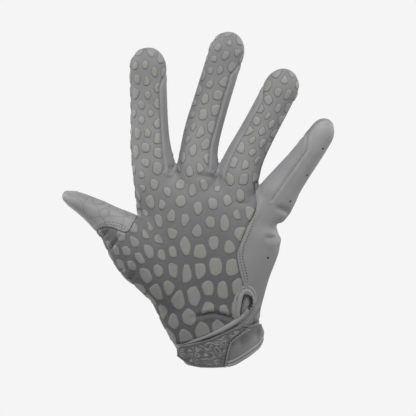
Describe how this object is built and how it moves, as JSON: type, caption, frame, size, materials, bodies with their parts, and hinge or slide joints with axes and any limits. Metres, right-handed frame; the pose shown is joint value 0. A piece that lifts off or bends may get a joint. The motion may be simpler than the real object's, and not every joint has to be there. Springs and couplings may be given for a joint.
{
  "type": "football glove",
  "caption": "Left-hand receiver glove in its worn shape: printed palm, splayed finger stalls with side strips, keyhole vent and a strap cuff with a moulded pull tab.",
  "frame": {"origin": "centre of the opening of the cuff, where the wrist passes", "axes": "+Z from the cuff towards the fingers, +X towards the little finger, the palm faces -Y"},
  "size_m": [0.1793, 0.0546, 0.2206],
  "materials": {
    "printed_knit": "matte knit with a raised tonal print",
    "plain_synthetic": "smooth matte synthetic",
    "stretch_knit": "matte stretch knit",
    "binding_tape": "woven edge tape",
    "moulded_rubber": "satin moulded rubber",
    "fastener_pile": "hook and loop pile"
  },
  "bodies": {
    "hand": {"palm_panel": "printed_knit", "thumb_saddle": "printed_knit", "side_panel": "plain_synthetic", "back_panel": "stretch_knit", "cuff_band": "stretch_knit", "cuff_piping": "binding_tape", "cuff_hem_binding": "binding_tape", "keyhole_binding": "binding_tape", "wrist_elastic": "stretch_knit", "loop_patch": "fastener_pile", "strap_sewn_end": "plain_synthetic"},
    "index": {"index_front": "printed_knit", "index_back": "stretch_knit", "index_strip_right": "stretch_knit"},
    "middle": {"middle_front": "printed_knit", "middle_back": "stretch_knit", "middle_strip_left": "stretch_knit", "middle_strip_right": "stretch_knit"},
    "ring": {"ring_front": "printed_knit", "ring_back": "stretch_knit", "ring_strip_left": "stretch_knit", "ring_strip_right": "stretch_knit"},
    "little": {"little_front": "plain_synthetic", "little_back": "stretch_knit", "little_strip_left": "stretch_knit"},
    "thumb": {"thumb_front": "printed_knit", "thumb_overlay": "plain_synthetic", "thumb_back": "stretch_knit", "thumb_strip_right": "stretch_knit"},
    "strap": {"strap_band": "plain_synthetic", "strap_piping": "binding_tape", "hook_patch": "fastener_pile", "pull_tab": "moulded_rubber"}
  },
  "joints": [
    {"name": "index_flex", "type": "hinge", "parent": "hand", "child": "index", "pos_m": [-0.04491, -0.02246, 0.11681], "axis": [0.9957, 0, 0.0928], "range_deg": [0, 80]},
    {"name": "middle_flex", "type": "hinge", "parent": "hand", "child": "middle", "pos_m": [-0.01574, -0.02348, 0.11879], "axis": [0.9994, 0, -0.0342], "range_deg": [0, 80]},
    {"name": "ring_flex", "type": "hinge", "parent": "hand", "child": "ring", "pos_m": [0.01148, -0.02232, 0.11214], "axis": [0.9729, 0, -0.2311], "range_deg": [0, 80]},
    {"name": "little_flex", "type": "hinge", "parent": "hand", "child": "little", "pos_m": [0.03485, -0.01957, 0.09727], "axis": [0.8474, 0, -0.5309], "range_deg": [0, 80]},
    {"name": "thumb_flex", "type": "hinge", "parent": "hand", "child": "thumb", "pos_m": [-0.06029, -0.0308, 0.07494], "axis": [0.7265, 0, 0.6871], "range_deg": [0, 50]},
    {"name": "strap_peel", "type": "hinge", "parent": "hand", "child": "strap", "pos_m": [0.02992, 0.00193, 0.0145], "axis": [-0.2209, -0.2939, 0.93], "range_deg": [0, 120]}
  ]
}
